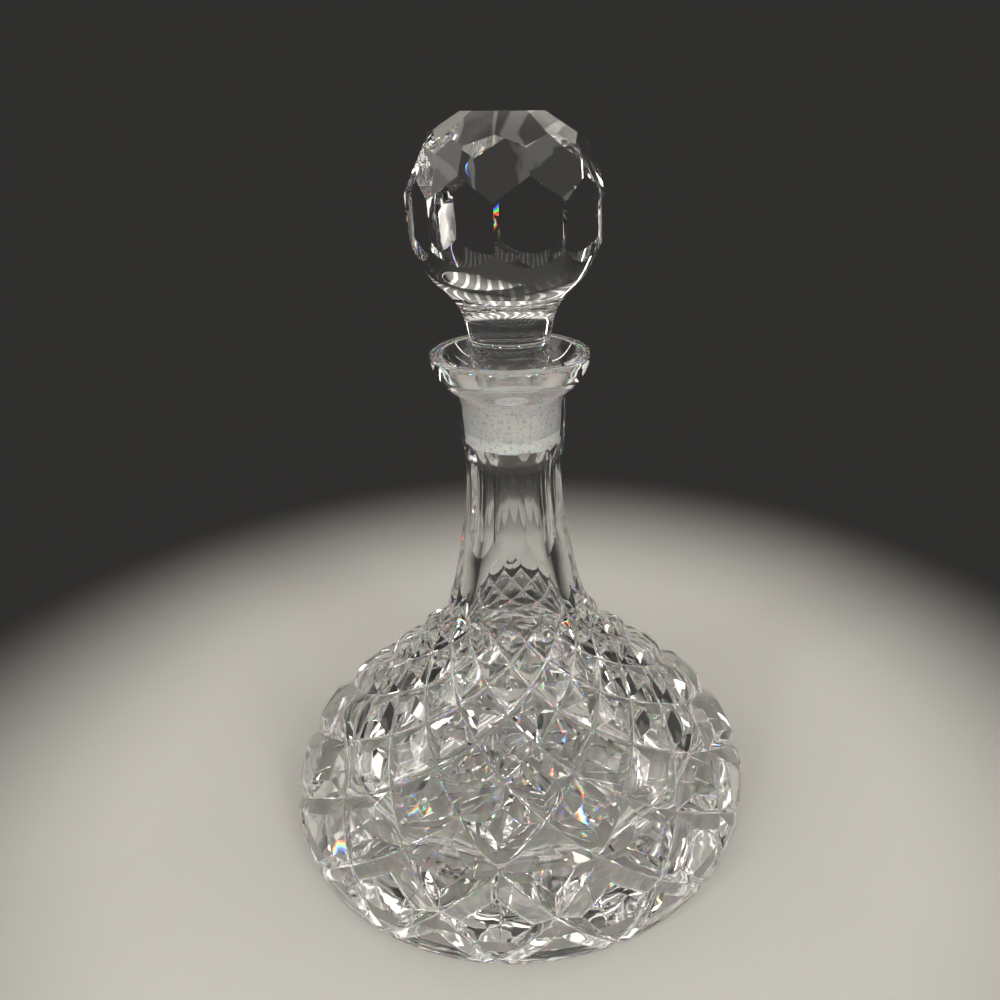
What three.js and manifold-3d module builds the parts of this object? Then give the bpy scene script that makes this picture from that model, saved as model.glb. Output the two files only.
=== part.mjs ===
// Cut glass ship's decanter: a low wide bowl covered in crossing V cuts, a fluted neck with
// a flared lip, and a solid faceted ball stopper with a tapered ground plug.
// Millimetres, +Z up. The base stands on z = 0 and both pieces share the Z axis. The front
// faces -Y, where a crossing of the cuts, a flute and an edge of the ball line up.

import * as THREE from 'three';
import Module from 'manifold-3d';
import { mergeVertices } from 'three/addons/utils/BufferGeometryUtils.js';

// Bowl outline before cutting: the points it runs through, as heights, and as insets from the
// widest radius of the bowl
const FOOT_RADIUS = 87;
const BOWL_BULGE = 0.3;
const BOWL_WIDEST_HEIGHT = 9;
const EDGE_INSET = 5.5;
const EDGE_HEIGHT = 22;
const SHOULDER_INSET = 19.2;
const SHOULDER_HEIGHT = 35.2;
const SLOPE_INSET = 39.1;
const SLOPE_HEIGHT = 54.6;
const NECK_ROOT_RADIUS = 27.3;
const NECK_ROOT_HEIGHT = 78;

// Neck and lip outline, with heights counted from the root of the neck
const WAIST_RADIUS = 16.6;
const WAIST_RISE = 52;
const COLLAR_RADIUS = 17.5;
const COLLAR_RISE = 70;
const NECK_LENGTH = 83;
const LIP_RADIUS = 25.8;
const LIP_FLARE = 13.2;
const RIM_WIDTH = 3.8;
const RIM_ROUNDING = 1.1;

// Crossing V cuts on the bowl
const CUTS_AROUND = 14;
const CUT_ROWS = 10;
const CUTS_TOP_HEIGHT = 85.8;
const CUT_HALF_WIDTH = 5.8;
const CUT_DEPTH = 3.2;
const FOOT_CUT_DEPTH = 1;
const TOP_CUT_DEPTH = 0.35;
const FOOT_RUN_OUT = 0.5;
const TOP_RUN_OUT = 1.6;
const ROW_TAPER = 0.74;
const CUT_SHARE_LIMIT = 0.44;
const TOP_POINT_SHARE = 0.4;

// Flutes up the neck
const FLUTES = 10;
const FLUTE_DEPTH = 1.15;
const FLUTE_LENGTH = 41;
const FLUTE_RUN_IN = 10;
const FLUTE_RUN_OUT = 9;

// Inside of the decanter
const BASE_THICKNESS = 9;
const FLOOR_ROUNDING = 12;
const WALL = 8;
const NECK_BORE_RADIUS = 8.2;
const SEAT_LENGTH = 18.5;
const SEAT_TOP_RADIUS = 10.8;
const SEAT_TAPER = 0.057;
const DISH_DEPTH = 11;

// Underside
const BASE_RIM_WIDTH = 10;
const BASE_HOLLOW = 1;
const STAR_RAYS = 28;
const RAY_START = 2.5;
const RAY_END_MARGIN = 3;
const RAY_DEPTH = 1.8;
const RAY_WIDTH = 6.6;

// Stopper: heights of its ball are counted from the rim of the lip
const PLUG_LENGTH = 16;
const PLUG_CLEARANCE = 0.3;
const PLUG_ROUNDING = 2;
const STEM_ROUNDING = 1;
const STEM_RADIUS = 12.6;
const STEM_FOOT_DROP = 4.5;
const RING_RISE = 4.2;
const RING_RADIUS = 13.1;
const TAPER_RADIUS = 17.8;
const TAPER_RISE = 17.6;
const UNDERSIDE_RADIUS = 23.9;
const UNDERSIDE_RISE = 24;
const BALL_LOW_RADIUS = 28.8;
const BALL_LOW_RISE = 33.6;
const GIRDLE_RISE = 47.4;
const GIRDLE_RADIUS = 29.6;
const GIRDLE_TILT = 2;
const CROWN_ROWS_TILT = 26.3;
const STAR_ROW_TILT = 57.3;
const STAR_ROW_RADIUS = 22.9;
const STAR_ROW_RISE = 62;
const BALL_TOP_RISE = 69.3;
const BALL_FACETS = 9;

const TURN = 2 * Math.PI;

// How far a cutting shape runs past the glass it cuts, and the steps of the rounded inner corner
const PAST_END = 5;
const FLOOR_ROUNDING_STEPS = 6;

const bowlRadius = FOOT_RADIUS + BOWL_BULGE;
const lipTop = NECK_ROOT_HEIGHT + NECK_LENGTH + LIP_FLARE;
const collarHeight = NECK_ROOT_HEIGHT + COLLAR_RISE;
const lipUnderside = NECK_ROOT_HEIGHT + NECK_LENGTH;
const seatTop = lipTop - DISH_DEPTH;

// A point on a radius-height outline
function at(radius, height) {
  return new THREE.Vector3(radius, 0, height);
}

// Outline of the uncut glass, from the edge of the base to the underside of the lip
const outline = new THREE.CatmullRomCurve3(
  [
    at(FOOT_RADIUS, 0),
    at(bowlRadius, BOWL_WIDEST_HEIGHT),
    at(bowlRadius - EDGE_INSET, EDGE_HEIGHT),
    at(bowlRadius - SHOULDER_INSET, SHOULDER_HEIGHT),
    at(bowlRadius - SLOPE_INSET, SLOPE_HEIGHT),
    at(NECK_ROOT_RADIUS, NECK_ROOT_HEIGHT),
    at((NECK_ROOT_RADIUS + 2 * WAIST_RADIUS) / 3, NECK_ROOT_HEIGHT + 0.46 * WAIST_RISE),
    at(WAIST_RADIUS, NECK_ROOT_HEIGHT + WAIST_RISE),
    at(COLLAR_RADIUS, collarHeight),
    at(COLLAR_RADIUS, lipUnderside),
  ],
  false,
  'centripetal',
);
const outlinePoints = outline.getSpacedPoints(600);

// Linear reading of a list of numbers against another, increasing one
function lookUp(xs, ys, x) {
  if (x <= xs[0]) return ys[0];
  for (let i = 1; i < xs.length; i++) {
    if (x <= xs[i]) {
      const share = (x - xs[i - 1]) / (xs[i] - xs[i - 1]);
      return ys[i - 1] + share * (ys[i] - ys[i - 1]);
    }
  }
  return ys[ys.length - 1];
}

// Outer radius of the uncut glass at a height
const outlineHeights = outlinePoints.map((p) => p.z);
const outlineRadii = outlinePoints.map((p) => p.x);
function outerRadius(height) {
  return lookUp(outlineHeights, outlineRadii, height);
}

// Rows of cuts: each row's height follows the local radius, so the diamonds shrink upwards.
// Row -1 lies on the edge of the base and row CUT_ROWS - 1 ends the cuts at the neck.
const rowSteps = [0];
const rowRadii = [outlinePoints[0].x];
const rowHeights = [outlinePoints[0].z];
for (let i = 1; i < outlinePoints.length && outlinePoints[i - 1].z < CUTS_TOP_HEIGHT; i++) {
  const step = outlinePoints[i].distanceTo(outlinePoints[i - 1]);
  rowSteps.push(rowSteps[i - 1] + step / outlinePoints[i].x ** ROW_TAPER);
  rowRadii.push(outlinePoints[i].x);
  rowHeights.push(outlinePoints[i].z);
}
const rowsTotal = rowSteps[rowSteps.length - 1];
const rowAt = rowSteps.map((s) => (s / rowsTotal) * CUT_ROWS - 1);
const LAST_ROW = CUT_ROWS - 1;

// Point of the uncut surface at a row, with its outward direction and the height of one row
function surface(anyRow) {
  const row = Math.max(-1, Math.min(LAST_ROW, anyRow));
  const radius = lookUp(rowAt, rowRadii, row);
  const height = lookUp(rowAt, rowHeights, row);
  const below = Math.max(row - 0.05, -1);
  const above = Math.min(row + 0.05, LAST_ROW);
  const dr = lookUp(rowAt, rowRadii, above) - lookUp(rowAt, rowRadii, below);
  const dz = lookUp(rowAt, rowHeights, above) - lookUp(rowAt, rowHeights, below);
  const length = Math.hypot(dr, dz);
  const outward = row <= -1 ? [1, 0] : [dz / length, -dr / length];
  return { radius, height, outward, rise: length / (above - below) };
}

// Distance between neighbouring cuts at a row
function cutSpacing(row) {
  const { radius, rise } = surface(row);
  const half = Math.PI * radius / CUTS_AROUND;
  return 2 * half * rise / Math.hypot(half, rise);
}

// Share of that distance which half a cut takes. The cuts run out towards the foot and the neck.
function cutWidthShare(row) {
  const foot = FOOT_CUT_DEPTH / CUT_DEPTH + (row + 1) * FOOT_RUN_OUT;
  const top = TOP_CUT_DEPTH / CUT_DEPTH + (LAST_ROW - row) * TOP_RUN_OUT;
  return Math.min(1, foot, top) * Math.min(CUT_SHARE_LIMIT, CUT_HALF_WIDTH / cutSpacing(row));
}
function cutDepth(row) {
  return CUT_DEPTH * cutWidthShare(row) * cutSpacing(row) / CUT_HALF_WIDTH;
}

// The same share at the corner of a boss straight over or under a crossing of two cuts
function cornerShare(row, way) {
  let share = cutWidthShare(row);
  for (let i = 0; i < 4; i++) {
    share = cutWidthShare(row + 2 * way * share);
  }
  return share;
}

// Triangles of one closed skin, collected as points
class Skin {
  numbers = [];

  triangle(a, b, c) {
    this.numbers.push(...a, ...b, ...c);
  }

  band(lower, upper) {
    for (let i = 0; i < lower.length; i++) {
      const j = (i + 1) % lower.length;
      this.triangle(lower[i], lower[j], upper[j]);
      this.triangle(lower[i], upper[j], upper[i]);
    }
  }

  geometry() {
    const geometry = new THREE.BufferGeometry();
    geometry.setAttribute('position', new THREE.Float32BufferAttribute(this.numbers, 3));
    return geometry;
  }
}

// A point around the axis, with angle 0 at the front
function around(radius, angle, height) {
  return [radius * Math.sin(angle), -radius * Math.cos(angle), height];
}

// A point of the cut surface: depth is 1 in the bottom of a cut and 0 on the uncut glass
function cutPoint(angle, row, depth) {
  const { radius, height, outward } = surface(row);
  const inward = depth * cutDepth(row);
  const z = row <= -1 ? 0 : height - inward * outward[1];
  return around(radius - inward * outward[0], angle, z);
}

// One diamond between four crossings: a flat-topped boss with four sloping sides. Its corner
// coordinates a and b run along the two families of cuts, and 0, 0 is the lowest crossing.
function diamond(skin, middleAngle, lowRow) {
  const half = Math.PI / CUTS_AROUND;
  const put = (a, b, depth) => cutPoint(middleAngle + (a - b) * half, lowRow + a + b, depth);
  const low = cornerShare(lowRow, 1);
  const mid = cutWidthShare(lowRow + 1);
  const high = cornerShare(lowRow + 2, -1);
  const corner = [[0, 0], [1, 0], [1, 1], [0, 1]];
  const top = [[low, low], [1 - mid, mid], [1 - high, 1 - high], [mid, 1 - mid]];
  const between = (p, q) => [(p[0] + q[0]) / 2, (p[1] + q[1]) / 2];
  const centre = put(0.5, 0.5, 0);
  for (let k = 0; k < 4; k++) {
    const next = (k + 1) % 4;
    if (lowRow < -1 && k !== 1 && k !== 2) continue;
    if (lowRow + 2 > LAST_ROW && k !== 0 && k !== 3) continue;
    const c0 = put(...corner[k], 1);
    const c1 = put(...between(corner[k], corner[next]), 1);
    const c2 = put(...corner[next], 1);
    const t0 = put(...top[k], 0);
    const t1 = put(...between(top[k], top[next]), 0);
    const t2 = put(...top[next], 0);
    skin.triangle(c0, c1, t1);
    skin.triangle(c0, t1, t0);
    skin.triangle(c1, c2, t2);
    skin.triangle(c1, t2, t1);
    if (lowRow + 2 <= LAST_ROW) {
      skin.triangle(centre, t0, t1);
      skin.triangle(centre, t1, t2);
    } else {
      const tip = put(...top[0], 0);
      const side = k === 0
        ? put(1 - TOP_POINT_SHARE, TOP_POINT_SHARE, 0)
        : put(TOP_POINT_SHARE, 1 - TOP_POINT_SHARE, 0);
      if (k === 0) {
        skin.triangle(tip, t1, t2);
        skin.triangle(tip, t2, side);
      } else {
        skin.triangle(tip, side, t0);
        skin.triangle(tip, t0, t1);
      }
    }
  }
  if (lowRow + 2 > LAST_ROW) {
    const tip = put(...top[0], 0);
    const right = put(1 - TOP_POINT_SHARE, TOP_POINT_SHARE, 0);
    const left = put(TOP_POINT_SHARE, 1 - TOP_POINT_SHARE, 0);
    skin.triangle(tip, right, left);
  }
}

// Depth of the flutes at a height, and the ring of points of the neck there. The number of
// columns is a multiple of the cuts around and of the flutes.
const neckColumns = CUTS_AROUND * FLUTES / 2;
const fluteTop = collarHeight - 0.5;
const fluteFoot = fluteTop - FLUTE_LENGTH;
function fluteDepth(height) {
  const rising = (height - fluteFoot) / FLUTE_RUN_IN;
  const falling = (fluteTop - height) / FLUTE_RUN_OUT;
  return FLUTE_DEPTH * Math.max(0, Math.min(1, rising, falling));
}
function neckRing(height, fluted) {
  const blank = outerRadius(height);
  const perFlute = neckColumns / FLUTES;
  const floor = blank - fluteDepth(height);
  const widest = Math.PI / FLUTES - 0.012;
  const plain = Math.PI / FLUTES * (perFlute - 1) / perFlute;
  const edge = fluted ? Math.min(widest, Math.max(0.07, Math.acos(floor / blank))) : plain;
  const ring = [];
  for (let i = 0; i < neckColumns; i++) {
    const flute = Math.round(i / perFlute);
    const offset = (i - flute * perFlute) / ((perFlute - 1) / 2) * edge;
    const radius = fluted ? Math.min(blank, floor / Math.cos(offset)) : blank;
    ring.push(around(radius, flute * TURN / FLUTES + offset, height));
  }
  return ring;
}

// Outer skin of the decanter, closed across the base and across the rim
function decanterSkin() {
  const skin = new Skin();
  const half = Math.PI / CUTS_AROUND;
  for (let lowRow = -2; lowRow < LAST_ROW; lowRow++) {
    const shift = Math.abs(lowRow) % 2 === 1 ? 0 : half;
    for (let k = 0; k < CUTS_AROUND; k++) {
      diamond(skin, shift + k * 2 * half, lowRow);
    }
  }

  // Flat closing of the base, which the hollow and the star are cut from later
  const share = cutWidthShare(-1);
  for (let k = 0; k < CUTS_AROUND; k++) {
    const from = k * 2 * half;
    const rim = [
      cutPoint(from, -1, 1),
      cutPoint(from + share * 2 * half, -1, 0),
      cutPoint(from + half, -1, 0),
      cutPoint(from + (1 - share) * 2 * half, -1, 0),
      cutPoint(from + 2 * half, -1, 1),
    ];
    for (let i = 0; i < 4; i++) {
      skin.triangle([0, 0, 0], rim[i + 1], rim[i]);
    }
  }

  // Plain glass over the cuts, then the flutes, the collar and the flare of the lip
  const topShare = cutWidthShare(LAST_ROW);
  let ring = [];
  const shares = [topShare, TOP_POINT_SHARE, 1 - TOP_POINT_SHARE, 1 - topShare];
  for (let k = 0; k < CUTS_AROUND; k++) {
    ring.push(cutPoint(k * 2 * half, LAST_ROW, 1));
    for (const part of shares) {
      ring.push(cutPoint((k + part) * 2 * half, LAST_ROW, 0));
    }
  }
  const next = (upper) => {
    skin.band(ring, upper);
    ring = upper;
  };
  next(neckRing((CUTS_TOP_HEIGHT + fluteFoot) / 2, false));
  const fluteStages = [0, 0.08, 0.18, 0.31, 0.45, 0.6, 0.75, 0.82, 0.92, 1];
  for (const part of fluteStages) {
    next(neckRing(fluteFoot + part * FLUTE_LENGTH, true));
  }
  next(neckRing(collarHeight + 1.5, false));
  next(neckRing(lipUnderside, false));
  const flare = [[0.24, 0.1], [0.56, 0.3], [0.82, 0.54], [0.97, 0.8], [1, 0.915]];
  const lipRing = (radius, height) => ring.map((p) => {
    const scale = radius / Math.hypot(p[0], p[1]);
    return [p[0] * scale, p[1] * scale, height];
  });
  for (const [out, up] of flare) {
    const radius = COLLAR_RADIUS + out * (LIP_RADIUS - COLLAR_RADIUS);
    next(lipRing(radius, lipUnderside + up * LIP_FLARE));
  }
  next(lipRing(LIP_RADIUS - RIM_ROUNDING, lipTop));
  for (let i = 0; i < ring.length; i++) {
    skin.triangle([0, 0, lipTop], ring[i], ring[(i + 1) % ring.length]);
  }
  return skin;
}

const wasm = await Module();
wasm.setup();

// A closed geometry as a solid, and a solid as a geometry
function solid(geometry) {
  const bare = geometry.clone();
  bare.deleteAttribute('normal');
  bare.deleteAttribute('uv');
  const merged = mergeVertices(bare, 1e-4);
  return new wasm.Manifold(new wasm.Mesh({
    numProp: 3,
    vertProperties: new Float32Array(merged.attributes.position.array),
    triVerts: new Uint32Array(merged.index.array),
  }));
}
function geometryOf(manifold) {
  const mesh = manifold.getMesh();
  const geometry = new THREE.BufferGeometry();
  geometry.setAttribute('position', new THREE.Float32BufferAttribute(mesh.vertProperties, 3));
  geometry.setIndex(new THREE.Uint32BufferAttribute(mesh.triVerts, 1));
  geometry.computeVertexNormals();
  return geometry;
}

// A body of revolution about Z from radius-height pairs that start and end on the axis
function turned(pairs, segments) {
  const lathe = new THREE.LatheGeometry(pairs.map(([r, z]) => new THREE.Vector2(r, z)), segments);
  lathe.rotateX(Math.PI / 2);
  return solid(lathe);
}

// Hollow of the bowl and neck: the outline moved inwards by the wall, then the bore, the
// tapered ground seat and the dish of the lip
function hollow() {
  const wall = [];
  for (let i = 1; i < outlinePoints.length - 1; i++) {
    const here = outlinePoints[i];
    const dr = outlinePoints[i + 1].x - outlinePoints[i - 1].x;
    const dz = outlinePoints[i + 1].z - outlinePoints[i - 1].z;
    const length = Math.hypot(dr, dz);
    wall.push([here.x - WALL * dz / length, here.z + WALL * dr / length]);
  }

  // The rounding in the corner touches the floor and the wall
  const roundingHeight = BASE_THICKNESS + FLOOR_ROUNDING;
  let flatRadius = FOOT_RADIUS;
  let touch = 0;
  for (let i = 0; i < wall.length; i++) {
    const rise = wall[i][1] - roundingHeight;
    if (Math.abs(rise) > FLOOR_ROUNDING) continue;
    const reach = wall[i][0] - Math.sqrt(FLOOR_ROUNDING ** 2 - rise ** 2);
    if (reach < flatRadius) {
      flatRadius = reach;
      touch = i;
    }
  }
  const touchTurn = Math.atan2(wall[touch][1] - roundingHeight, wall[touch][0] - flatRadius);
  const pairs = [[0, BASE_THICKNESS]];
  for (let k = 0; k <= FLOOR_ROUNDING_STEPS; k++) {
    const turn = -Math.PI / 2 + k / FLOOR_ROUNDING_STEPS * (touchTurn + Math.PI / 2);
    pairs.push([
      flatRadius + FLOOR_ROUNDING * Math.cos(turn),
      roundingHeight + FLOOR_ROUNDING * Math.sin(turn),
    ]);
  }
  const seatBottom = seatTop - SEAT_LENGTH;
  const seatBottomRadius = SEAT_TOP_RADIUS - SEAT_TAPER * SEAT_LENGTH;
  for (let i = touch; i < wall.length; i += 40) {
    const [radius, height] = wall[i];
    const last = pairs[pairs.length - 1];
    if (height < last[1] + 1.5 || radius > last[0] - 0.05) continue;
    if (height > seatBottom - 12 || radius < NECK_BORE_RADIUS + 0.5) break;
    pairs.push([radius, height]);
  }
  pairs.push([NECK_BORE_RADIUS, Math.max(pairs[pairs.length - 1][1] + 6, seatBottom - 8)]);
  pairs.push([seatBottomRadius, seatBottom]);
  pairs.push([SEAT_TOP_RADIUS, seatTop]);
  const dishRadius = LIP_RADIUS - RIM_WIDTH;
  const dishCurve = [[0.1, 0.07], [0.3, 0.2], [0.6, 0.42], [0.84, 0.72], [1, 1]];
  for (const [out, up] of dishCurve) {
    pairs.push([SEAT_TOP_RADIUS + out * (dishRadius - SEAT_TOP_RADIUS), seatTop + up * DISH_DEPTH]);
  }
  pairs.push([dishRadius, lipTop + PAST_END]);
  pairs.push([0, lipTop + PAST_END]);
  return turned(pairs, 42);
}

// Shallow hollow under the base and the rays of the star cut in it
function undersideCuts() {
  const radius = FOOT_RADIUS - BASE_RIM_WIDTH;
  const pairs = [
    [0, -PAST_END],
    [radius + 2 * BASE_HOLLOW, -PAST_END],
    [radius, 0],
    [radius - 2 * BASE_HOLLOW, BASE_HOLLOW],
    [0, BASE_HOLLOW],
  ];
  let cuts = turned(pairs, 56);
  const length = radius - RAY_END_MARGIN - RAY_START;
  for (let k = 0; k < STAR_RAYS; k++) {
    const ray = new THREE.OctahedronGeometry(1);
    ray.scale(RAY_WIDTH / 2, length / 2, RAY_DEPTH);
    ray.translate(0, -RAY_START - length / 2, BASE_HOLLOW);
    ray.rotateZ(k * TURN / STAR_RAYS);
    cuts = cuts.add(solid(ray));
  }
  return cuts;
}

// Stopper: a turned blank, then one flat on top and three rows of flats around the ball
function stopperSolid() {
  const plugFoot = seatTop - PLUG_LENGTH;
  const plugRadius = (z) => SEAT_TOP_RADIUS - SEAT_TAPER * (seatTop - z) - PLUG_CLEARANCE;
  const girdle = lipTop + GIRDLE_RISE;
  const ballTop = lipTop + BALL_TOP_RISE;
  const blankRadius = GIRDLE_RADIUS + PAST_END / 2;
  const curve = new THREE.CatmullRomCurve3(
    [
      at(RING_RADIUS, lipTop + RING_RISE + 1.6),
      at((RING_RADIUS + TAPER_RADIUS) / 2 - 0.8, lipTop + (RING_RISE + TAPER_RISE) / 2 + 1.2),
      at(TAPER_RADIUS, lipTop + TAPER_RISE),
      at(UNDERSIDE_RADIUS, lipTop + UNDERSIDE_RISE),
      at(BALL_LOW_RADIUS, lipTop + BALL_LOW_RISE),
      at(blankRadius, (lipTop + BALL_LOW_RISE + girdle) / 2),
    ],
    false,
    'centripetal',
  );
  const pairs = [
    [0, plugFoot],
    [plugRadius(plugFoot) - PLUG_ROUNDING, plugFoot],
    [plugRadius(plugFoot + PLUG_ROUNDING) - 0.05, plugFoot + PLUG_ROUNDING],
    [plugRadius(seatTop), seatTop],
    [STEM_RADIUS - STEM_ROUNDING, lipTop - STEM_FOOT_DROP],
    [STEM_RADIUS, lipTop - STEM_FOOT_DROP + STEM_ROUNDING],
    [STEM_RADIUS, lipTop + RING_RISE - 0.6],
    [RING_RADIUS, lipTop + RING_RISE],
  ];
  for (const p of curve.getSpacedPoints(9)) {
    pairs.push([p.x, p.z]);
  }
  pairs.push([blankRadius, ballTop + PAST_END]);
  pairs.push([0, ballTop + PAST_END]);
  let body = turned(pairs, 45);

  // Takes away all that lies outside a flat with the given tilt, turned to an angle
  const size = 2 * BALL_TOP_RISE + 4 * GIRDLE_RADIUS;
  const flat = (tilt, radius, height, angle) => {
    const block = new THREE.BoxGeometry(size, size, size);
    block.translate(size / 2, 0, 0);
    block.rotateY(-THREE.MathUtils.degToRad(tilt));
    block.translate(radius, 0, height);
    block.rotateZ(angle - Math.PI / 2);
    body = body.subtract(solid(block));
  };
  const step = TURN / BALL_FACETS;
  const apothem = GIRDLE_RADIUS * Math.cos(step / 2);
  for (let k = 0; k < BALL_FACETS; k++) {
    flat(CROWN_ROWS_TILT, GIRDLE_RADIUS, girdle, k * step);
    flat(-GIRDLE_TILT, apothem, girdle, (k + 0.5) * step);
    flat(STAR_ROW_TILT, STAR_ROW_RADIUS, lipTop + STAR_ROW_RISE, (k + 0.5) * step);
  }
  flat(90, 0, ballTop, 0);
  return body;
}

// A named mesh of one piece
function piece(name, manifold, colour, roughness) {
  const material = new THREE.MeshStandardMaterial({ color: colour, roughness, metalness: 0 });
  const mesh = new THREE.Mesh(geometryOf(manifold), material);
  mesh.name = name;
  return mesh;
}

const decanter = solid(decanterSkin().geometry()).subtract(hollow()).subtract(undersideCuts());
const stopper = stopperSolid();

const group = new THREE.Group();
group.add(piece('decanter', decanter, 0xe9eeec, 0.05));
group.add(piece('stopper', stopper, 0xe9eeec, 0.05));

export default group;
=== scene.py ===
"""A cut glass ship's decanter with its faceted stopper, in metres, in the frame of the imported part.

Z is up, the base stands on z = 0 and the front faces -Y, where a crossing of the cuts, a flute
and an edge of the ball line up.
"""

import math

import bpy
import numpy as np
from mathutils import Matrix, Vector


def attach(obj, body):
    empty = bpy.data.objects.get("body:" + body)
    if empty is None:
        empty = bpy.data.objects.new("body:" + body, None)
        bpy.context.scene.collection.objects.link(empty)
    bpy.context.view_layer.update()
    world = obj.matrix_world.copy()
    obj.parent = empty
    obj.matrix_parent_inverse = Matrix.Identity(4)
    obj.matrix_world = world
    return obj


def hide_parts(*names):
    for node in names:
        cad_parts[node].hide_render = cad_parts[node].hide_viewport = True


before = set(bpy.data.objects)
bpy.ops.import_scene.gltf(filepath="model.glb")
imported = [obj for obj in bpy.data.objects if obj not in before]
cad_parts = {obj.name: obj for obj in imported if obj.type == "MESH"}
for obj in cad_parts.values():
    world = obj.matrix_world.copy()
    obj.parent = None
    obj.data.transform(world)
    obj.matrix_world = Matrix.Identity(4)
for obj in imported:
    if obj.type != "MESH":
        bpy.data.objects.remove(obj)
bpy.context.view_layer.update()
bpy.ops.object.select_all(action="DESELECT")

# Blank of the bowl and neck: lead crystal, gathered hot and blown into a mould as a low wide bowl
# that sweeps up into a slender neck. The outline is the one the glass has before it is cut, as a
# smooth curve through radius and height in millimetres, from the edge of the base to the lip.
MM = 0.001
TURN = 2 * math.pi
LIP_UNDERSIDE = 161.0
COLLAR_RADIUS = 17.5
COLLAR_HEIGHT = 148.0
BLANK_POINTS = [
    (87.0, 0.0),
    (87.3, 9.0),
    (81.8, 22.0),
    (68.1, 35.2),
    (48.2, 54.6),
    (27.3, 78.0),
    (20.17, 101.92),
    (16.6, 130.0),
    (COLLAR_RADIUS, COLLAR_HEIGHT),
    (COLLAR_RADIUS, LIP_UNDERSIDE),
]


def curve_through(points, spacing):
    """Evenly spaced points of a centripetal Catmull-Rom curve through radius-height pairs."""
    knots = np.array(points, float)
    knots = np.vstack([2 * knots[0] - knots[1], knots, 2 * knots[-1] - knots[-2]])
    dense = []
    for i in range(1, len(knots) - 2):
        a, b, c, d = knots[i - 1 : i + 3]
        ta = 0.0
        tb = ta + np.linalg.norm(b - a) ** 0.5
        tc = tb + np.linalg.norm(c - b) ** 0.5
        td = tc + np.linalg.norm(d - c) ** 0.5
        t = np.linspace(tb, tc, 200, endpoint=False)[:, None]
        ab = ((tb - t) * a + (t - ta) * b) / (tb - ta)
        bc = ((tc - t) * b + (t - tb) * c) / (tc - tb)
        cd = ((td - t) * c + (t - tc) * d) / (td - tc)
        abc = ((tc - t) * ab + (t - ta) * bc) / (tc - ta)
        bcd = ((td - t) * bc + (t - tb) * cd) / (td - tb)
        dense.append(((tc - t) * abc + (t - tb) * bcd) / (tc - tb))
    dense = np.vstack(dense + [knots[-2:-1]])
    steps = np.linalg.norm(np.diff(dense, axis=0), axis=1)
    length = np.concatenate([[0], np.cumsum(steps)])
    places = np.linspace(0, length[-1], max(2, round(length[-1] / spacing) + 1))
    return np.stack([np.interp(places, length, dense[:, k]) for k in (0, 1)], axis=1)


blank = curve_through(BLANK_POINTS, 0.25)


def blank_radius(height):
    """Radius of the uncut glass at a height."""
    return float(np.interp(height, blank[:, 1], blank[:, 0]))


# Bowl: 14 pairs of V cuts are ground into the blank with a wheel, climbing to the left and to the
# right in long spirals from the edge of the base to the root of the neck, then polished in acid.
# Between them stand diamond bosses whose tops are what is left of the blank. The cuts run out
# shallow at the foot and narrow to points at the neck.
CUTS_AROUND = 14
CUT_ROWS = 10
CUTS_TOP = 85.8
ROW_TAPER = 0.74
CUT_HALF_WIDTH = 5.8
CUT_DEPTH = 3.2
CUT_SHARE_LIMIT = 0.44
FOOT_OPENING = 1 / 3.2
FOOT_RUN_OUT = 0.5
TOP_OPENING = 0.35 / 3.2
TOP_RUN_OUT = 1.6
FOOT_BEVEL = 0.5
HALF_PITCH = math.pi / CUTS_AROUND
LAST_ROW = CUT_ROWS - 1
ALONG_CUT = [0, 0.03, 0.12, 0.24, 0.36, 0.5, 0.64, 0.76, 0.88, 0.97, 1]
ACROSS_CUT = [0, 0.055, 0.11, 0.5, 0.93, 1]
VALLEY_ROUNDING = ACROSS_CUT[2]

cut_blank = blank[blank[:, 1] <= CUTS_TOP]
cut_steps = np.linalg.norm(np.diff(cut_blank, axis=0), axis=1) / cut_blank[1:, 0] ** ROW_TAPER
row_of = np.concatenate([[0], np.cumsum(cut_steps)])
row_of = row_of / row_of[-1] * CUT_ROWS - 1
along = np.gradient(cut_blank, axis=0)
row_rise = np.linalg.norm(along, axis=1) / np.gradient(row_of)
along /= np.linalg.norm(along, axis=1)[:, None]


def at_row(row, values):
    return float(np.interp(row, row_of, values))


def cut_spacing(row):
    """Distance between neighbouring cuts."""
    half = HALF_PITCH * at_row(row, cut_blank[:, 0])
    rise = at_row(row, row_rise)
    return 2 * half * rise / math.hypot(half, rise)


def cut_share(row):
    """Share of that distance which half a cut takes."""
    foot = FOOT_OPENING + (row + 1) * FOOT_RUN_OUT
    top = TOP_OPENING + (LAST_ROW - row) * TOP_RUN_OUT
    return min(1, foot, top) * min(CUT_SHARE_LIMIT, CUT_HALF_WIDTH / cut_spacing(row))


def corner_share(row, way):
    """The same share at the corner of a boss straight over or under a crossing of two cuts."""
    share = cut_share(row)
    for _ in range(8):
        share = cut_share(row + 2 * way * share)
    return share


def side_depth(across):
    """Depth of the side of a cut at a share of its width; the bottom is rounded by the wheel."""
    if across > VALLEY_ROUNDING:
        return 1 - across
    return 1 - VALLEY_ROUNDING / 2 - across**2 / (2 * VALLEY_ROUNDING)


def bowl_point(angle, row, depth):
    """A point of the cut bowl: depth is 1 in the bottom of a cut and 0 on the blank."""
    inward = depth * CUT_DEPTH * cut_share(row) * cut_spacing(row) / CUT_HALF_WIDTH
    radius, height = at_row(row, cut_blank[:, 0]), at_row(row, cut_blank[:, 1])
    if row < -1 + 1e-6:
        radius, height = radius - inward, FOOT_BEVEL
    else:
        radius -= inward * at_row(row, along[:, 1])
        height += inward * at_row(row, along[:, 0])
    return (radius * math.sin(angle), -radius * math.cos(angle), height)


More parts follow.
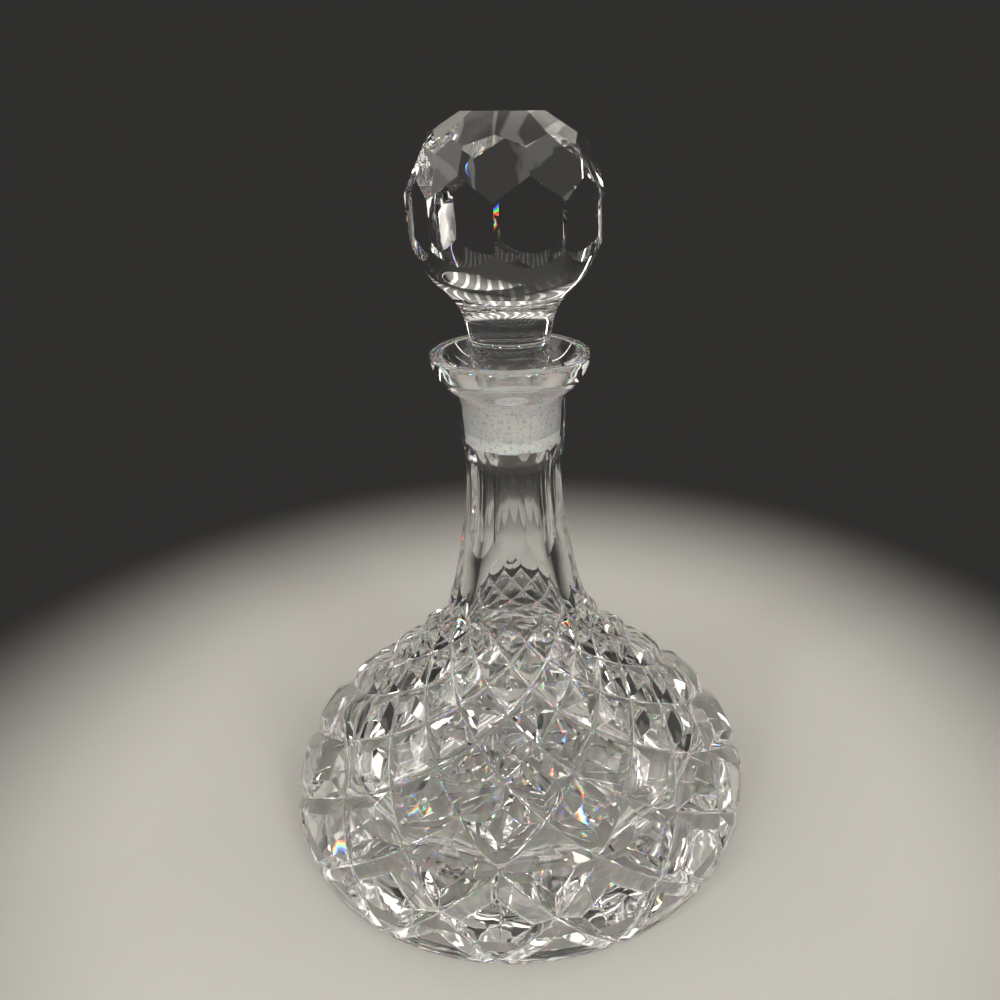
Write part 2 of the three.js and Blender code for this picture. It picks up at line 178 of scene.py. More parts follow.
def diamond(low_row):
    """Grids of points of one boss and the four sides of cuts around it."""
    low, high = corner_share(low_row, 1), corner_share(low_row + 2, -1)
    mid = cut_share(low_row + 1)
    middle = HALF_PITCH * (1 + low_row % 2)
    crossings = np.array([(0, 0), (1, 0), (1, 1), (0, 1)], float)
    corners = np.array([(low, low), (1 - mid, mid), (1 - high, 1 - high), (mid, 1 - mid)], float)
    sides = [0, 1, 2, 3]
    if low_row < -1:
        sides = [1, 2]
    if low_row + 2 > LAST_ROW:
        sides = [0, 3]

    def put(place, depth):
        a, b = place
        return bowl_point(middle + (a - b) * HALF_PITCH, low_row + a + b, depth)

    crests, grids = {}, []
    for k in sides:
        crest = [corners[k] + (corners[(k + 1) % 4] - corners[k]) * t for t in ALONG_CUT]
        for place in crest[1:-1]:
            for _ in range(12):
                share = cut_share(low_row + place[0] + place[1])
                wanted = share if k in (0, 3) else 1 - share
                place[(1, 0, 1, 0)[k]] = (place[(1, 0, 1, 0)[k]] + wanted) / 2
        valley = [crossings[k] + (crossings[(k + 1) % 4] - crossings[k]) * t for t in ALONG_CUT]
        crests[k] = crest
        grids.append([
            [put(v + (c - v) * t, side_depth(t)) for t in ACROSS_CUT] for v, c in zip(valley, crest)
        ])

    if len(sides) == 4:
        lower, upper = crests[0], crests[2][::-1]
        left, right = crests[3][::-1], crests[1]
        top = []
        for v, l, r in zip(ALONG_CUT, left, right):
            line = []
            for u, d, e in zip(ALONG_CUT, lower, upper):
                flat = (1 - v) * d + v * e + (1 - u) * l + u * r
                flat = flat - (1 - u) * (1 - v) * lower[0] - u * (1 - v) * lower[-1]
                flat = flat - (1 - u) * v * upper[0] - u * v * upper[-1]
                line.append(put(flat, 0))
            top.append(line)
    else:
        ends = (crests[2][::-1], crests[1]) if 1 in sides else (crests[3], crests[0][::-1])
        top = [[put(l + (r - l) * t, 0) for t in ALONG_CUT] for l, r in zip(*ends)]
    return grids + [top]


def new_piece(name, points, edges, faces, material):
    """A new selected and active piece, from points in millimetres."""
    mesh = bpy.data.meshes.new(name)
    mesh.from_pydata([Vector(p) * MM for p in points], edges, faces)
    mesh.materials.append(material)
    piece = bpy.data.objects.new(name, mesh)
    bpy.context.collection.objects.link(piece)
    bpy.ops.object.select_all(action="DESELECT")
    piece.select_set(True)
    bpy.context.view_layer.objects.active = piece
    return piece


def skin_piece(name, grids, material):
    """A smooth piece of skin with a face between each four neighbours of each grid of points."""
    points, faces = [], []
    for grid in grids:
        first, width = len(points), len(grid[0])
        points += [p for line in grid for p in line]
        for j in range(len(grid) - 1):
            for i in range(width - 1):
                a = first + j * width + i
                faces.append((a, a + 1, a + width + 1, a + width))
    piece = new_piece(name, points, [], faces, material)
    bpy.ops.object.shade_smooth()
    return piece


def spin_copies(times):
    """Copies the active piece around the Z axis, so that it closes the circle."""
    bpy.ops.object.mode_set(mode="EDIT")
    bpy.ops.mesh.select_all(action="SELECT")
    bpy.ops.mesh.spin(
        steps=times - 1, dupli=True, angle=TURN * (times - 1) / times, center=(0, 0, 0), axis=(0, 0, 1)
    )
    bpy.ops.object.mode_set(mode="OBJECT")


def linear(hex_colour):
    """An sRGB hex colour as linear RGBA."""
    parts = [int(hex_colour[i : i + 2], 16) / 255 for i in (1, 3, 5)]
    return [c / 12.92 if c <= 0.04045 else ((c + 0.055) / 1.055) ** 2.4 for c in parts] + [1.0]


def add_node(material, kind, inputs={}, **settings):
    """A node with its settings, and with values or links for its inputs."""
    node = material.node_tree.nodes.new(kind)
    for name, value in settings.items():
        setattr(node, name, value)
    for name, value in inputs.items():
        if isinstance(value, bpy.types.NodeSocket):
            material.node_tree.links.new(value, node.inputs[name])
        else:
            node.inputs[name].default_value = value
    return node


def crystal(name, roughness, wave_width, wave_height, grain_width=0.0, grain_height=0.0, clear=1.0):
    """Lead crystal with soft waves and, where it is ground, a grain with darker specks of painted shade in
    its colour, all sizes in millimetres.

    Clear is the share of the light that goes through; ground glass scatters the rest.
    """
    material = bpy.data.materials.new(name)
    material.use_nodes = True
    shader = material.node_tree.nodes["Principled BSDF"]
    shader.inputs["Base Color"].default_value = linear("#FEFEFE")
    shader.inputs["IOR"].default_value = 1.545
    shader.inputs["Roughness"].default_value = roughness
    shader.inputs["Transmission Weight"].default_value = clear
    place = add_node(material, "ShaderNodeTexCoord").outputs["Object"]
    waves = add_node(
        material, "ShaderNodeTexNoise",
        {"Vector": place, "Scale": 1 / (wave_width * MM), "Detail": 1.0, "Roughness": 0.4},
    )
    bump = add_node(
        material, "ShaderNodeBump",
        {"Height": waves.outputs["Fac"], "Strength": 1.0, "Distance": wave_height * MM},
    )
    if grain_width:
        grain_and_painted_sparkle = add_node(
            material, "ShaderNodeTexNoise",
            {"Vector": place, "Scale": 1 / (grain_width * MM), "Detail": 3.0, "Roughness": 0.7},
        )
        # Painted shade: the grain darkens the colour in specks. With the white between them, they stand in
        # for the sparkle of light that the ground grain catches.
        painted_sparkle_specks = add_node(material, "ShaderNodeValToRGB", {"Fac": grain_and_painted_sparkle.outputs["Fac"]})
        for stop, at, colour in zip(painted_sparkle_specks.color_ramp.elements, (0.36, 0.46), ("#C4C6C8", "#FEFEFE")):
            stop.position, stop.color = at, linear(colour)
        material.node_tree.links.new(painted_sparkle_specks.outputs["Color"], shader.inputs["Base Color"])
        bump = add_node(
            material, "ShaderNodeBump",
            {
                "Height": grain_and_painted_sparkle.outputs["Fac"],
                "Strength": 1.0,
                "Distance": grain_height * MM,
                "Normal": bump.outputs["Normal"],
            },
        )
    material.node_tree.links.new(bump.outputs["Normal"], shader.inputs["Normal"])
    return material


# Polished lead crystal: wheel-cut and acid-polished. The acid leaves the flats a little wavy, which
# makes the reflections and what is seen through them swim.
cut_crystal = crystal("acid_polished_lead_crystal", 0.0, wave_width=5, wave_height=0.025)

wedge = [grid for low_row in range(-2, LAST_ROW) for grid in diamond(low_row)]
bowl = skin_piece("bowl_and_neck", wedge, cut_crystal)
spin_copies(CUTS_AROUND)

# Neck: ten flat flutes are ground up it, which makes it ten-sided between the plain glass over the
# diamonds and the plain collar under the lip. Each flute ends in a rounded tongue.
FLUTES = 10
FLUTE_DEPTH = 1.15
FLUTE_TOP = COLLAR_HEIGHT - 0.5
FLUTE_FOOT = FLUTE_TOP - 41.0
FLUTE_RUN_IN = 10.0
FLUTE_RUN_OUT = 9.0
ACROSS_FLUTE = [-1, -0.97, -0.75, -0.5, -0.25, 0, 0.25, 0.5, 0.75, 0.97, 1]
COLUMNS_PER_FLUTE = 28
ARRIS_HALF_ANGLE = 0.009


def flute_ring(height):
    """Points of one flute at a height and of the narrow land up to the next one."""
    uncut = blank_radius(height)
    rising, falling = (height - FLUTE_FOOT) / FLUTE_RUN_IN, (FLUTE_TOP - height) / FLUTE_RUN_OUT
    floor = uncut - FLUTE_DEPTH * max(0.0, min(1.0, rising, falling))
    step = TURN / FLUTES
    edge = min(step / 2 - ARRIS_HALF_ANGLE, max(0.008, math.acos(floor / uncut)))
    land = COLUMNS_PER_FLUTE - len(ACROSS_FLUTE) + 1
    angles = np.concatenate([
        edge * np.array(ACROSS_FLUTE), np.linspace(edge, step - edge, land + 1)[1:]
    ])
    if height > FLUTE_TOP or height < FLUTE_FOOT:
        beyond = max(height - FLUTE_TOP, FLUTE_FOOT - height)
        even = (np.arange(COLUMNS_PER_FLUTE + 1) - len(ACROSS_FLUTE) // 2) * step / COLUMNS_PER_FLUTE
        angles += (even - angles) * min(1, beyond / 3)
    ring = []
    for angle in angles:
        from_middle = min(abs(angle), step - angle)
        radius = min(uncut, floor / math.cos(from_middle))
        ring.append((radius * math.sin(angle), -radius * math.cos(angle), height))
    return ring


flute_heights = np.concatenate([
    FLUTE_FOOT - np.array([3.0, 2.0, 1.0]),
    FLUTE_FOOT + FLUTE_RUN_IN * np.linspace(0, 1, 13) ** 1.7,
    np.linspace(FLUTE_FOOT + FLUTE_RUN_IN, FLUTE_TOP - FLUTE_RUN_OUT, 13)[1:],
    FLUTE_TOP - FLUTE_RUN_OUT * (1 - np.linspace(0, 1, 13)[1:]) ** 1.7,
    FLUTE_TOP + np.array([1.0, 2.0, 3.0]),
])
neck = skin_piece("neck_flutes", [[flute_ring(z) for z in flute_heights]], cut_crystal)
spin_copies(FLUTES)

# Root of the neck: a band of plain glass between the points of the diamonds and the flutes.
top_ring = []
for k in range(CUTS_AROUND):
    side = cut_share(LAST_ROW)
    over_cut = [side * t for t in ACROSS_CUT[:-1]]
    over_boss = [side + (1 - 2 * side) * t for t in ALONG_CUT]
    parts = over_cut + over_boss + [1 - t for t in over_cut[:0:-1]]
    cut_depths = [side_depth(t) for t in ACROSS_CUT[:-1]]
    depths = cut_depths + [0] * len(ALONG_CUT) + cut_depths[:0:-1]
    top_ring += [((k + part) * 2 * HALF_PITCH, depth) for part, depth in zip(parts, depths)]
even_step = TURN / len(top_ring)
band = [[bowl_point(angle, LAST_ROW, depth) for angle, depth in top_ring]]
for share in np.linspace(0, 1, 12)[1:]:
    height = band[0][6][2] + (flute_heights[0] - band[0][6][2]) * share
    radius = blank_radius(height)
    line = []
    for i, (angle, _) in enumerate(top_ring):
        turn = angle + (i * even_step - angle) * share
        line.append((radius * math.sin(turn), -radius * math.cos(turn), height))
    band.append(line)
neck_root = skin_piece("neck_root", [[line + line[:1] for line in band]], cut_crystal)

# Base: a flat ring that the decanter stands on, around a shallow hollow with a star of 28 rays,
# ground with a V wheel from near the middle to near the ring.
BASE_RIM_OUTER = 85.0
BASE_RIM_INNER = 77.0
BASE_HOLLOW = 1.0
STAR_RAYS = 28
RAY_START = 2.5
RAY_END = 74.0
RAY_DEPTH = 1.8
RAY_WIDTH = 6.6


def base_ring(radius, height, share):
    """Ring of a fourteenth of the base: share goes from the notched edge to the even star."""
    middle, half_length = (RAY_START + RAY_END) / 2, (RAY_END - RAY_START) / 2
    size = max(0.0, 1 - abs(radius - middle) / half_length)
    half = max(size * RAY_WIDTH / 2, 0.03) / max(radius, RAY_START)
    step = TURN / STAR_RAYS
    between = list(np.linspace(half, step - half, 7)[1:-1])
    star = [0, half / 2, half] + between + [step - half, step - half / 2]
    ring = []
    for i in range(21):
        edge_angle, edge_depth = top_ring_foot[i]
        ray_angle = star[i % 10] + (i // 10) * step
        angle = edge_angle + (ray_angle - edge_angle) * share
        depth = size * RAY_DEPTH * {0: 1, 1: 0.5, 9: 0.5}.get(i % 10, 0)
        out = radius - (1 - share) * edge_depth
        ring.append((out * math.sin(angle), -out * math.cos(angle), height + depth))
    return ring


foot_share = cut_share(-1)
foot_depth = CUT_DEPTH * foot_share * cut_spacing(-1) / CUT_HALF_WIDTH
foot_parts = [foot_share * t for t in ACROSS_CUT[:-1]]
foot_parts += [foot_share + (1 - 2 * foot_share) * t for t in ALONG_CUT]
foot_parts += [1 - foot_share * t for t in ACROSS_CUT[-2::-1]]
foot_depths = cut_depths + [0] * len(ALONG_CUT) + cut_depths[::-1]
top_ring_foot = [(p * 2 * HALF_PITCH, d * foot_depth) for p, d in zip(foot_parts, foot_depths)]
foot_radius = BLANK_POINTS[0][0]
base_lines = [
    base_ring(foot_radius, FOOT_BEVEL, 0),
    base_ring(foot_radius - FOOT_BEVEL * 0.3, FOOT_BEVEL * 0.3, 0),
    base_ring(foot_radius - FOOT_BEVEL, 0, 0),
    base_ring(BASE_RIM_OUTER - 1, 0, 0.3),
    base_ring(BASE_RIM_INNER, 0, 1),
    base_ring(BASE_RIM_INNER - 2 * BASE_HOLLOW, BASE_HOLLOW, 1),
]
for radius in (RAY_END, 68, 62, 56, 50, 44, 38.25, 33, 28, 22, 16, 11, 6, RAY_START):
    base_lines.append(base_ring(radius, BASE_HOLLOW, 1))
base_lines.append([(0, 0, BASE_HOLLOW)] * 21)
base = skin_piece("base_star", [base_lines], cut_crystal)
spin_copies(CUTS_AROUND)
bpy.ops.object.mode_set(mode="EDIT")
bpy.ops.mesh.select_all(action="SELECT")
bpy.ops.mesh.remove_doubles(threshold=5e-6)
bpy.ops.object.mode_set(mode="OBJECT")
bpy.ops.object.shade_smooth_by_angle(angle=math.radians(15))

# Lip: flared hot with a tool, then the rim ground and polished round. Inside it dishes down to the
# mouth. It is turned as one profile.
LIP_RADIUS = 25.8
LIP_TOP = 174.2
RIM_ROUNDING = 1.1
DISH_RADIUS = 22.0
SEAT_TOP = 163.2
SEAT_TOP_RADIUS = 10.8
DISH_SHARES = [(0.84, 0.72), (0.6, 0.42), (0.3, 0.2), (0.1, 0.07)]


def turned(name, profile, material, steps):
    """A smooth piece turned from radius-height pairs around the Z axis."""
    edges = [(i, i + 1) for i in range(len(profile) - 1)]
    piece = new_piece(name, [(0, -r, z) for r, z in profile], edges, [], material)
    bpy.ops.object.mode_set(mode="EDIT")
    bpy.ops.mesh.select_all(action="SELECT")
    bpy.ops.mesh.spin(steps=steps, angle=TURN, center=(0, 0, 0), axis=(0, 0, 1))
    bpy.ops.mesh.select_all(action="SELECT")
    bpy.ops.mesh.remove_doubles(threshold=5e-6)
    bpy.ops.object.mode_set(mode="OBJECT")
    bpy.ops.object.shade_smooth()
    return piece


def rounded(radius, centre, start, end, steps):
    """Points of an arc from one angle to another, in degrees from straight out to straight up."""
    turns = np.radians(np.linspace(start, end, steps + 1))
    return [(centre[0] + radius * math.cos(t), centre[1] + radius * math.sin(t)) for t in turns]


flare = curve_through(
    [
        (COLLAR_RADIUS, LIP_UNDERSIDE - 4),
        (COLLAR_RADIUS, LIP_UNDERSIDE),
        (19.49, 162.32),
        (22.15, 164.96),
        (24.31, 168.13),
        (25.55, 171.56),
        (LIP_RADIUS, LIP_TOP - RIM_ROUNDING),
    ],
    1.5,
)
dish_width, dish_depth = DISH_RADIUS - SEAT_TOP_RADIUS, LIP_TOP - SEAT_TOP
dish = curve_through(
    [(DISH_RADIUS - 0.35, LIP_TOP - 0.5)]
    + [(SEAT_TOP_RADIUS + out * dish_width, SEAT_TOP + up * dish_depth) for out, up in DISH_SHARES]
    + [(SEAT_TOP_RADIUS + 0.25, SEAT_TOP + 0.12)],
    1.5,
)
lip_profile = [(blank_radius(z), z) for z in np.linspace(FLUTE_TOP + 3, LIP_UNDERSIDE - 4, 5)[:-1]]
lip_profile += list(flare[:-1])
lip_profile += rounded(RIM_ROUNDING, (LIP_RADIUS - RIM_ROUNDING, LIP_TOP - RIM_ROUNDING), 0, 90, 6)
lip_profile += rounded(0.7, (DISH_RADIUS + 0.35, LIP_TOP - 0.7), 90, 165, 4)
lip_profile += list(dish[1:])
lip_profile += [(SEAT_TOP_RADIUS, SEAT_TOP)]
lip = turned("lip", lip_profile, cut_crystal, 280)

# Seat: the tapered mouth, ground with emery on a cone of brass so that the plug seals in it. Ground
# crystal is matt and scatters the light to an even grey-white. Its real grain is too fine to show, so
# the grain is drawn about 1 mm wide; its darker specks are painted shade standing in for the sparkle.
SEAT_BOTTOM = 144.7
SEAT_TAPER = 0.057
ground_crystal = crystal(
    "emery_ground_lead_crystal", 0.35, wave_width=4, wave_height=0.01, grain_width=1.0,
    grain_height=0.3, clear=0.4,
)
seat_bottom_radius = SEAT_TOP_RADIUS - SEAT_TAPER * (SEAT_TOP - SEAT_BOTTOM)
seat_heights = np.linspace(SEAT_TOP, SEAT_BOTTOM, 8)
seat_profile = [(SEAT_TOP_RADIUS - SEAT_TAPER * (SEAT_TOP - z), z) for z in seat_heights]
seat = turned("seat", seat_profile, ground_crystal, 280)

# Foot of the seat: the plug doesn't reach down here, so the ground glass is bare and lies against air
# alone, which makes it scatter nearly all of the light: a whiter band under the plug.
SEAT_BARE_TOP = 147.3
# Its darker specks are painted shade, as on the seat.
bare_crystal = crystal(
    "bare_ground_lead_crystal", 0.35, wave_width=4, wave_height=0.01, grain_width=1.0,
    grain_height=0.3, clear=0.0,
)
seat.data.materials.append(bare_crystal)
for face in seat.data.polygons:
    if face.center.z / MM < SEAT_BARE_TOP:
        face.material_index = 1

# Inside of the neck and bowl: the free surface of the blown bubble, smooth from the fire and
# softly uneven, which bends what is seen through it in slow curves.
WALL = 8.0
FLOOR_HEIGHT = 9.0
FLOOR_ROUNDING = 12.0
BORE_RADIUS = 8.2
blown_crystal = crystal("blown_lead_crystal", 0.0, wave_width=16, wave_height=0.12)
tangent = np.gradient(blank, axis=0)
tangent /= np.linalg.norm(tangent, axis=1)[:, None]
inner = np.stack([blank[:, 0] - WALL * tangent[:, 1], blank[:, 1] + WALL * tangent[:, 0]], axis=1)
rise = inner[:, 1] - FLOOR_HEIGHT - FLOOR_ROUNDING
reach = inner[:, 0] - np.sqrt(np.maximum(FLOOR_ROUNDING**2 - rise**2, 0))
reach[np.abs(rise) > FLOOR_ROUNDING] = np.inf
touch = int(np.argmin(reach))
flat_radius = float(reach[touch])
touch_angle = math.degrees(math.atan2(rise[touch], inner[touch, 0] - flat_radius))
bubble = [(flat_radius * share, FLOOR_HEIGHT) for share in (0, 0.1, 0.25, 0.42, 0.6, 0.8)]
bubble += rounded(
    FLOOR_ROUNDING, (flat_radius, FLOOR_HEIGHT + FLOOR_ROUNDING), -90, touch_angle, 18
)
for radius, height in inner[touch::9]:
    if height < bubble[-1][1] + 1 or radius > bubble[-1][0]:
        continue
    if radius < BORE_RADIUS + 0.3 or height > SEAT_BOTTOM - 12:
        break
    bubble.append((radius, height))
bubble += [(BORE_RADIUS, SEAT_BOTTOM - 8), (BORE_RADIUS - 0.3, SEAT_BOTTOM - 3.5)]
bubble += [(seat_bottom_radius + 0.07, SEAT_BOTTOM - 1)]
inside = turned("inside", bubble, blown_crystal, 140)

# All of these surfaces are the skin of one body of glass, so they are joined and sewn up. The
# inside has half as many points around, so the last gap, at the foot of the seat, is bridged.
bpy.ops.object.select_all(action="DESELECT")
for part in (bowl, neck, neck_root, base, lip, seat, inside):
    part.select_set(True)
bpy.context.view_layer.objects.active = bowl
bpy.ops.object.join()
bpy.ops.object.mode_set(mode="EDIT")
bpy.ops.mesh.select_mode(type="EDGE")
bpy.ops.mesh.select_all(action="SELECT")
bpy.ops.mesh.remove_doubles(threshold=5e-6)
bpy.ops.mesh.select_all(action="DESELECT")
bpy.ops.mesh.select_non_manifold(
    extend=False, use_wire=False, use_boundary=True, use_multi_face=False, use_non_contiguous=False,
    use_verts=False,
)
bpy.ops.object.mode_set(mode="OBJECT")
bpy.ops.object.mode_set(mode="EDIT")
bpy.ops.mesh.bridge_edge_loops()
bpy.ops.mesh.faces_shade_smooth()
bpy.ops.mesh.select_all(action="SELECT")
bpy.ops.mesh.normals_make_consistent(inside=False)
bpy.ops.object.mode_set(mode="OBJECT")
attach(bowl, "decanter")
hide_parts("decanter")

# Stopper: one solid piece of crystal, pressed as a blank and turned true. The plug at its foot is
# ground to fit the seat, over it stand the plain stem with a small ring and the taper of the ball.
GIRDLE_HEIGHT = 221.6
GIRDLE_RADIUS = 29.6
BALL_TOP = 243.5
BALL_FACETS = 9
PLUG_FOOT = 147.2
PLUG_CLEARANCE = 0.3
PLUG_ROUNDING = 2.0
STEM_RADIUS = 12.6


def plug_radius(height):
    return SEAT_TOP_RADIUS - PLUG_CLEARANCE - SEAT_TAPER * (SEAT_TOP - height)


plug_profile = [(0, PLUG_FOOT), (3, PLUG_FOOT)]
plug_profile += rounded(
    PLUG_ROUNDING, (plug_radius(PLUG_FOOT) - PLUG_ROUNDING - 0.03, PLUG_FOOT + PLUG_ROUNDING), -90, 0, 5
)
plug_profile += [(plug_radius(z), z) for z in np.linspace(PLUG_FOOT + 3, SEAT_TOP, 8)]
stem_profile = [(10.6, 164.5), (11.0, 167.0)]
stem_profile += rounded(1.0, (STEM_RADIUS - 1, 170.7), -35, 0, 4)
stem_profile += [(STEM_RADIUS, z) for z in (172, 174, 176, 177.6)]
stem_profile += rounded(0.5, (12.75, 178.6), -60, 60, 6)
stem_profile += list(curve_through(
    [
        (13.1, 180.0),
        (14.65, 186.3),
        (17.8, 191.8),
        (23.9, 198.2),
        (28.8, 207.8),
        (32.1, 214.7),
    ],
    1.2,
))
stem_profile += [(32.1, BALL_TOP + 5), (0, BALL_TOP + 5)]
stopper = turned("ball_stopper", plug_profile + stem_profile, cut_crystal, 280)

# Ball: ground flat on an iron wheel with 28 facets and polished: nine upright ones around the
# girdle, two rows of nine that close in over it, and a nine-sided table on top.
facet_step = TURN / BALL_FACETS
flats = [((0, 0, BALL_TOP), (0, 0, 1))]
for k in range(BALL_FACETS):
    for turn, tilt, radius, height in (
        (k, 26.3, GIRDLE_RADIUS, GIRDLE_HEIGHT),
        (k + 0.5, -2.0, GIRDLE_RADIUS * math.cos(facet_step / 2), GIRDLE_HEIGHT),
        (k + 0.5, 57.3, 22.9, 236.2),
    ):
        out = (math.sin(turn * facet_step), -math.cos(turn * facet_step))
        lean = math.radians(tilt)
        flats.append((
            (radius * out[0], radius * out[1], height),
            (math.cos(lean) * out[0], math.cos(lean) * out[1], math.sin(lean)),
        ))
bpy.ops.object.mode_set(mode="EDIT")
for place, outward in flats:
    bpy.ops.mesh.select_all(action="SELECT")
    bpy.ops.mesh.bisect(
        plane_co=Vector(place) * MM, plane_no=outward, use_fill=True, clear_outer=True, threshold=1e-7
    )
bpy.ops.mesh.select_all(action="SELECT")
bpy.ops.mesh.remove_doubles(threshold=2e-6)
bpy.ops.mesh.normals_make_consistent(inside=False)
bpy.ops.object.mode_set(mode="OBJECT")
bevel = stopper.modifiers.new("facet_edges", "BEVEL")
bevel.width = 0.7 * MM
bevel.segments = 3
bevel.limit_method = "ANGLE"
bevel.angle_limit = math.radians(8)
bpy.ops.object.modifier_apply(modifier="facet_edges")
bpy.ops.object.shade_smooth_by_angle(angle=math.radians(7))

# Foot of the plug: sawn off flat and left as the saw leaves it, coarser and duller than the ground
# cone over it. Its darker specks are painted shade, as on the seat.
sawn_crystal = crystal(
    "sawn_lead_crystal", 0.5, wave_width=4, wave_height=0.01, grain_width=0.6, grain_height=0.1,
    clear=0.0,
)
stopper.data.materials.append(ground_crystal)
stopper.data.materials.append(sawn_crystal)
for face in stopper.data.polygons:
    height = face.center.z / MM
    if height < PLUG_FOOT + 0.5:
        face.material_index = 2
    elif height < SEAT_TOP:
        face.material_index = 1
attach(stopper, "stopper")
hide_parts("stopper")

# Floor: a pale matt table top that takes the shadow and the bright patterns that the crystal throws,
# and is also what is seen through the glass. Away from the glass it turns clear into the dark room: a
# painted pool of light, pale only near the glass.
POOL_FADE_START = 0.14
POOL_FADE_END = 0.3
bpy.ops.mesh.primitive_circle_add(vertices=128, radius=1.5, fill_type="NGON", location=(0, 0, -5e-5))
floor = bpy.context.object
floor.name = "table_top"
matt = bpy.data.materials.new("matt_pale_paint")
matt.use_nodes = True
matt_shader = matt.node_tree.nodes["Principled BSDF"]
matt_shader.inputs["Base Color"].default_value = linear("#B8B6B2")
matt_shader.inputs["Roughness"].default_value = 0.9
matt_shader.inputs["Specular IOR Level"].default_value = 0.2
matt_shader_out = matt_shader.outputs["BSDF"]
spot = add_node(matt, "ShaderNodeTexCoord").outputs["Object"]
from_axis = add_node(matt, "ShaderNodeVectorMath", {0: spot}, operation="LENGTH").outputs["Value"]
# Painted pool of light: from the glass outward the floor turns clear to the dark world, though no lamp
# lights it so.
painted_pool_fade = add_node(
    matt, "ShaderNodeMapRange",
    {"Value": from_axis, "From Min": POOL_FADE_START, "From Max": POOL_FADE_END},
    interpolation_type="SMOOTHSTEP",
)
clear = add_node(matt, "ShaderNodeBsdfTransparent")
edge = add_node(
    matt, "ShaderNodeMixShader", {0: painted_pool_fade.outputs["Result"], 1: matt_shader_out, 2: clear.outputs["BSDF"]}
)
matt.node_tree.links.new(edge.outputs["Shader"], matt.node_tree.nodes["Material Output"].inputs["Surface"])
floor.data.materials.append(matt)

# Room: a dark grey backdrop all round, as the photograph has behind the glass, so that the edges and
# cuts stand out light. The ceiling over it is pale, with straight rows of bright tubes: its even light
# fills the crystal, and the rows are the fine white ribs in the ball and the stem.
TUBE_ROWS = 1.6
TUBE_EDGE = (0.7, 0.85)
CEILING_LIGHT = 0.5
TUBE_LIGHT = 2.3
CEILING_START = 0.38
CEILING_FULL = 0.5
world = bpy.data.worlds.new("room")
bpy.context.scene.world = world
world.use_nodes = True
sky = world.node_tree.nodes["Background"]
direction = add_node(world, "ShaderNodeTexCoord").outputs["Generated"]
up = add_node(world, "ShaderNodeSeparateXYZ", {"Vector": direction}).outputs["Z"]
on_ceiling = add_node(world, "ShaderNodeVectorMath", {0: direction, 1: up}, operation="DIVIDE")
rows = add_node(
    world, "ShaderNodeTexWave",
    {"Vector": on_ceiling.outputs["Vector"], "Scale": TUBE_ROWS},
    wave_profile="SIN",
)
tubes = add_node(
    world, "ShaderNodeMapRange",
    {
        "Value": rows.outputs["Fac"],
        "From Min": TUBE_EDGE[0],
        "From Max": TUBE_EDGE[1],
        "To Min": CEILING_LIGHT,
        "To Max": TUBE_LIGHT,
    },
)
ceiling = add_node(world, "ShaderNodeValToRGB", {"Fac": up})
ceiling.color_ramp.elements[0].position = CEILING_START
ceiling.color_ramp.elements[0].color = linear("#000000")
ceiling.color_ramp.elements[1].position = CEILING_FULL
ceiling.color_ramp.elements[1].color = linear("#D6D2CA")
room = add_node(
    world, "ShaderNodeVectorMath",
    {0: ceiling.outputs["Color"], 1: tubes.outputs["Result"], 2: linear("#302F2E")[:3]},
    operation="MULTIPLY_ADD",
)
world.node_tree.links.new(room.outputs["Vector"], sky.inputs["Color"])
sky.inputs["Strength"].default_value = 1.0

# Lamps: upright lines of light in front and behind, whose images are the bright lines in the cuts,
# soft panels at both sides, and small boxes low in front that light the ground seat. Lead crystal
# spreads white light into colours: each line in front is three coloured tubes side by side, white
# together, and their images part in the cuts as those colours do.
WARM_WHITE = "#FFFAF2"
LINE_COLOURS = ("#FF593F", "#59FF59", "#3F59FF")
LINE_TURNS = (42, 310)
BACK_LINE_TURNS = (118, 235)
PANEL_TURNS = (80, 275)
LOW_BOX_TURNS = (-20, 30)
AIM_HEIGHT = 0.12


def soft_box(name, turn, radius, height, size, watts, colour=WARM_WHITE):
    """A lamp aimed at the decanter, placed by its turn in degrees to the right of the front."""
    bearing = math.radians(turn)
    place = Vector((radius * math.sin(bearing), -radius * math.cos(bearing), height))
    bpy.ops.object.light_add(type="AREA", location=place)
    lamp = bpy.context.object
    lamp.name = name
    lamp.visible_camera = False
    lamp.data.shape = "RECTANGLE"
    lamp.data.size, lamp.data.size_y = size
    lamp.data.energy = watts
    lamp.data.color = linear(colour)[:3]
    lamp.rotation_euler = (Vector((0, 0, AIM_HEIGHT)) - place).to_track_quat("-Z", "Y").to_euler()


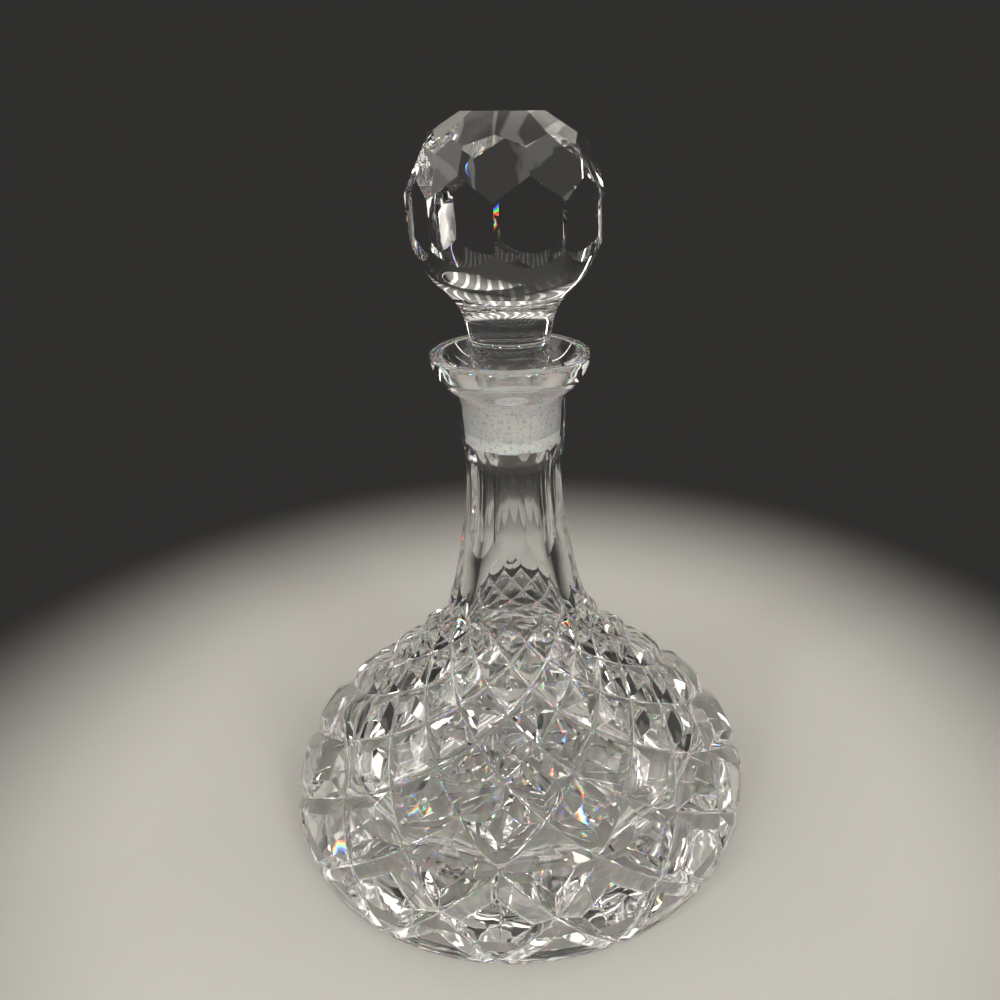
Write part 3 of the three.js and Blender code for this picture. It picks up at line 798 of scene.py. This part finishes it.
for turn in LINE_TURNS:
    for k, colour in enumerate(LINE_COLOURS):
        soft_box("line_%d_%d" % (turn, k), turn + k - 1, 0.85, 0.5, (0.014, 0.6), 1.74, colour)
for turn in BACK_LINE_TURNS:
    soft_box("back_line_%d" % turn, turn, 0.85, 0.5, (0.035, 0.6), 1.0)
for turn in PANEL_TURNS:
    soft_box("panel_%d" % turn, turn, 0.85, 0.45, (0.45, 0.55), 0.9)
soft_box("high_panel", 72, 0.65, 0.86, (0.25, 0.25), 0.6)
for turn in LOW_BOX_TURNS:
    soft_box("low_box_%d" % turn, turn, 0.9, 0.22, (0.1, 0.1), 2.2)

# Camera: close to the glass and looking down on it by a quarter of a right angle, as in the
# photograph, a little to the right of the front.
CAMERA_DISTANCE = 259.3
CAMERA_HEIGHT = 245.3
CAMERA_AZIMUTH = math.radians(6.47)
CAMERA_PITCH = math.radians(25.64)
CAMERA_YAW = math.radians(3.1)
CAMERA_ROLL = math.radians(-0.37)
PICTURE_MIDDLE = 555.0
toward = Vector((-math.sin(CAMERA_AZIMUTH), math.cos(CAMERA_AZIMUTH), 0))
across = Vector((math.cos(CAMERA_AZIMUTH), math.sin(CAMERA_AZIMUTH), 0))
level = math.sin(CAMERA_YAW) * across + math.cos(CAMERA_YAW) * toward
ahead = math.cos(CAMERA_PITCH) * level - math.sin(CAMERA_PITCH) * Vector((0, 0, 1))
right = math.cos(CAMERA_YAW) * across - math.sin(CAMERA_YAW) * toward
above = right.cross(ahead)
right, above = (
    math.cos(CAMERA_ROLL) * right + math.sin(CAMERA_ROLL) * above,
    math.cos(CAMERA_ROLL) * above - math.sin(CAMERA_ROLL) * right,
)
bpy.ops.object.camera_add()
camera = bpy.context.object
camera.name = "photo_camera"
camera.matrix_world = Matrix((
    (right.x, above.x, -ahead.x, -toward.x * CAMERA_DISTANCE * MM),
    (right.y, above.y, -ahead.y, -toward.y * CAMERA_DISTANCE * MM),
    (right.z, above.z, -ahead.z, CAMERA_HEIGHT * MM),
    (0, 0, 0, 1),
))
camera.data.sensor_width = 36
camera.data.lens = 29.77
camera.data.shift_x = (500 - PICTURE_MIDDLE) / 1000
camera.data.clip_start = 0.01
bpy.context.scene.camera = camera

cycles = bpy.context.scene.cycles
cycles.max_bounces = 32
cycles.transmission_bounces = 32
cycles.glossy_bounces = 16
bpy.context.scene.view_settings.view_transform = "Standard"
